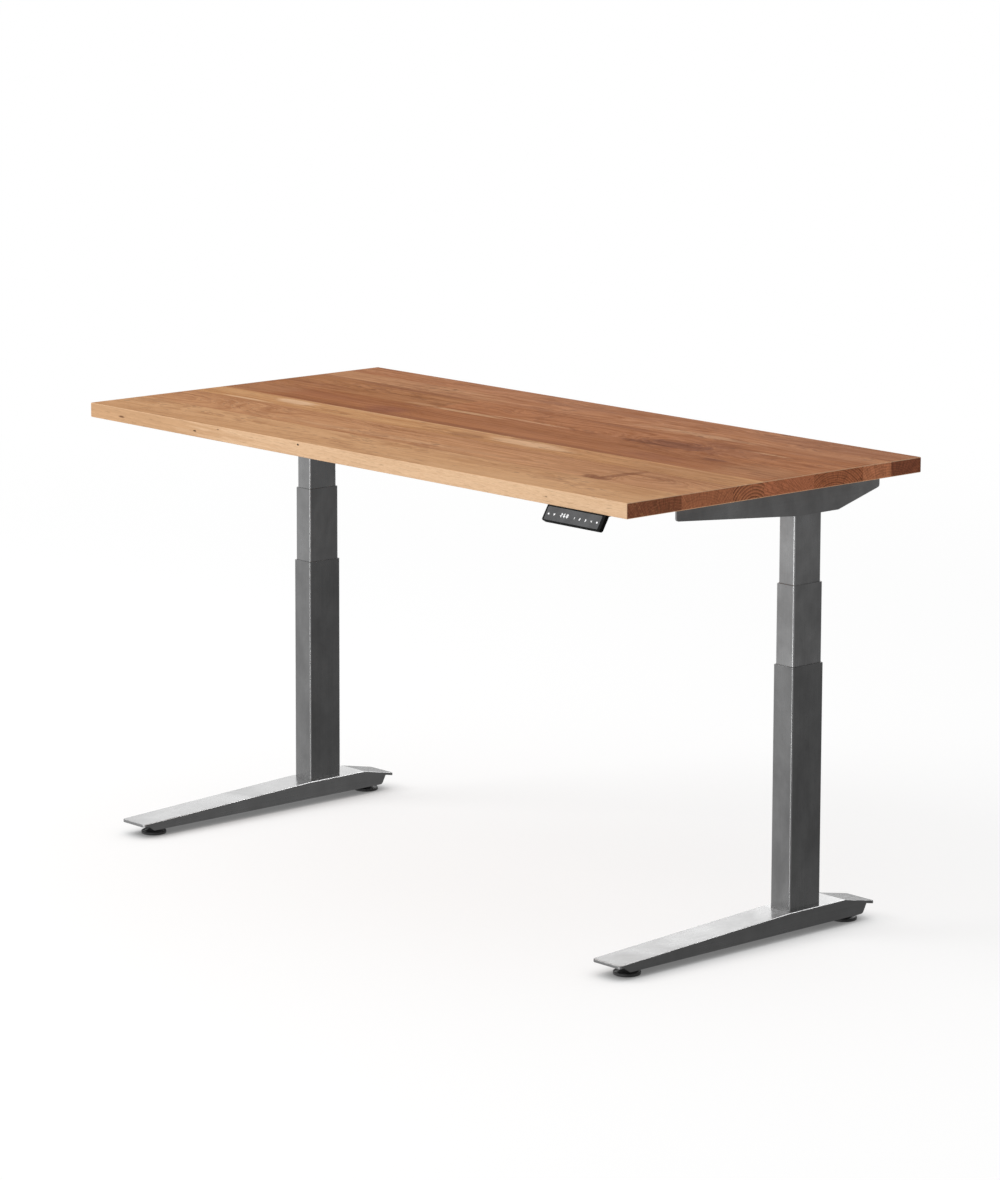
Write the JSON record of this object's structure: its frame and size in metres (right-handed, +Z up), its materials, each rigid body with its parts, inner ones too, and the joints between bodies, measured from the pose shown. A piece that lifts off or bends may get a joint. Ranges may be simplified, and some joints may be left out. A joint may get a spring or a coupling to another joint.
{
  "type": "height adjustable standing desk",
  "caption": "Sit-stand desk: a rectangular hardwood top on two three-stage telescopic steel columns with long tapered feet, levelling glides and a touch handset.",
  "frame": {"origin": "On the floor, under the middle of the whole desk as modelled, handset included.", "axes": "+X is the user's right, along the desktop's long side; +Y points away from the user; +Z is up."},
  "size_m": [1.524, 0.7602, 0.868],
  "materials": {
    "hardwood": "oiled red-brown hardwood with lighter sapwood, satin",
    "raw_steel": "bare mill steel under clear coat, mottled",
    "sheet_steel": "dark steel, satin powder coat",
    "machined_steel": "turned and oiled steel",
    "zinc_steel": "zinc-plated steel",
    "gearbox_alloy": "die-cast alloy",
    "motor_steel": "black painted steel can",
    "natural_nylon": "moulded natural nylon",
    "nut_polymer": "filled acetal",
    "black_plastic": "moulded black plastic, fine texture",
    "handset_plastic": "black moulded plastic, satin",
    "handset_panel": "dark grey touch panel with white symbols"
  },
  "bodies": {
    "left_base": {"left_foot": "raw_steel", "left_foot_bolts": "zinc_steel", "left_lower_tube": "raw_steel", "left_lower_liner": "natural_nylon", "left_lower_support": "machined_steel", "left_lower_nut": "nut_polymer"},
    "left_middle": {"left_middle_tube": "raw_steel", "left_middle_bushing": "natural_nylon", "left_middle_liner": "natural_nylon", "left_middle_support": "machined_steel", "left_middle_nut": "nut_polymer", "left_screw_bearing": "machined_steel"},
    "top": {"stave_1": "hardwood", "stave_2": "hardwood", "stave_3": "hardwood", "stave_4": "hardwood", "stave_5_left": "hardwood", "stave_5_right": "hardwood", "stave_6": "hardwood", "stave_7": "hardwood", "desktop_screws": "zinc_steel", "front_crossbar": "sheet_steel", "rear_crossbar": "sheet_steel", "crossbar_bolts": "zinc_steel", "control_box": "black_plastic", "handset_body": "handset_plastic", "handset_panel": "handset_panel", "left_upper_tube": "raw_steel", "left_upper_bushing": "natural_nylon", "left_side_bracket": "raw_steel", "left_gearbox": "gearbox_alloy", "left_motor": "motor_steel", "left_motor_cover": "sheet_steel", "right_upper_tube": "raw_steel", "right_upper_bushing": "natural_nylon", "right_side_bracket": "raw_steel", "right_gearbox": "gearbox_alloy", "right_motor": "motor_steel", "right_motor_cover": "sheet_steel"},
    "right_middle": {"right_middle_tube": "raw_steel", "right_middle_bushing": "natural_nylon", "right_middle_liner": "natural_nylon", "right_middle_support": "machined_steel", "right_middle_nut": "nut_polymer", "right_screw_bearing": "machined_steel"},
    "right_base": {"right_foot": "raw_steel", "right_foot_bolts": "zinc_steel", "right_lower_tube": "raw_steel", "right_lower_liner": "natural_nylon", "right_lower_support": "machined_steel", "right_lower_nut": "nut_polymer"},
    "left_hollow_screw": {"left_hollow_screw": "machined_steel"},
    "left_drive_screw": {"left_drive_screw": "machined_steel"},
    "right_hollow_screw": {"right_hollow_screw": "machined_steel"},
    "right_drive_screw": {"right_drive_screw": "machined_steel"},
    "left_front_glide": {"left_front_glide": "black_plastic"},
    "left_rear_glide": {"left_rear_glide": "black_plastic"},
    "right_front_glide": {"right_front_glide": "black_plastic"},
    "right_rear_glide": {"right_rear_glide": "black_plastic"}
  },
  "joints": [
    {"name": "desk_lift", "type": "slide", "parent": "left_base", "child": "left_middle", "axis": [0, 0, 1], "range_m": [-0.108, 0.215]},
    {"name": "left_upper_slide", "type": "slide", "parent": "left_middle", "child": "top", "axis": [0, 0, 1], "range_m": [-0.108, 0.215]},
    {"name": "right_upper_slide", "type": "slide", "parent": "top", "child": "right_middle", "axis": [0, 0, -1], "range_m": [-0.108, 0.215]},
    {"name": "right_lower_slide", "type": "slide", "parent": "right_middle", "child": "right_base", "axis": [0, 0, -1], "range_m": [-0.108, 0.215]},
    {"name": "left_hollow_screw_turn", "type": "hinge", "parent": "left_middle", "child": "left_hollow_screw", "pos_m": [-0.682, 0.14733, 0.35], "axis": [0, 0, 1], "continuous": true},
    {"name": "left_drive_screw_turn", "type": "hinge", "parent": "top", "child": "left_drive_screw", "pos_m": [-0.682, 0.14733, 0.56], "axis": [0, 0, 1], "continuous": true},
    {"name": "right_hollow_screw_turn", "type": "hinge", "parent": "right_middle", "child": "right_hollow_screw", "pos_m": [0.682, 0.14733, 0.35], "axis": [0, 0, 1], "continuous": true},
    {"name": "right_drive_screw_turn", "type": "hinge", "parent": "top", "child": "right_drive_screw", "pos_m": [0.682, 0.14733, 0.56], "axis": [0, 0, 1], "continuous": true},
    {"name": "left_front_glide_turn", "type": "hinge", "parent": "left_base", "child": "left_front_glide", "pos_m": [-0.682, -0.27967, 0], "axis": [0, 0, 1], "continuous": true},
    {"name": "left_rear_glide_turn", "type": "hinge", "parent": "left_base", "child": "left_rear_glide", "pos_m": [-0.682, 0.27713, 0], "axis": [0, 0, 1], "continuous": true},
    {"name": "right_front_glide_turn", "type": "hinge", "parent": "right_base", "child": "right_front_glide", "pos_m": [0.682, -0.27967, 0], "axis": [0, 0, 1], "continuous": true},
    {"name": "right_rear_glide_turn", "type": "hinge", "parent": "right_base", "child": "right_rear_glide", "pos_m": [0.682, 0.27713, 0], "axis": [0, 0, 1], "continuous": true}
  ],
  "couplings": [
    {"joint": "left_upper_slide", "follows": "desk_lift", "ratio": 1},
    {"joint": "right_upper_slide", "follows": "desk_lift", "ratio": 1},
    {"joint": "right_lower_slide", "follows": "desk_lift", "ratio": 1},
    {"joint": "left_hollow_screw_turn", "follows": "desk_lift", "rad_per_m": 628.32},
    {"joint": "left_drive_screw_turn", "follows": "desk_lift", "rad_per_m": 628.32},
    {"joint": "right_hollow_screw_turn", "follows": "desk_lift", "rad_per_m": 628.32},
    {"joint": "right_drive_screw_turn", "follows": "desk_lift", "rad_per_m": 628.32}
  ]
}
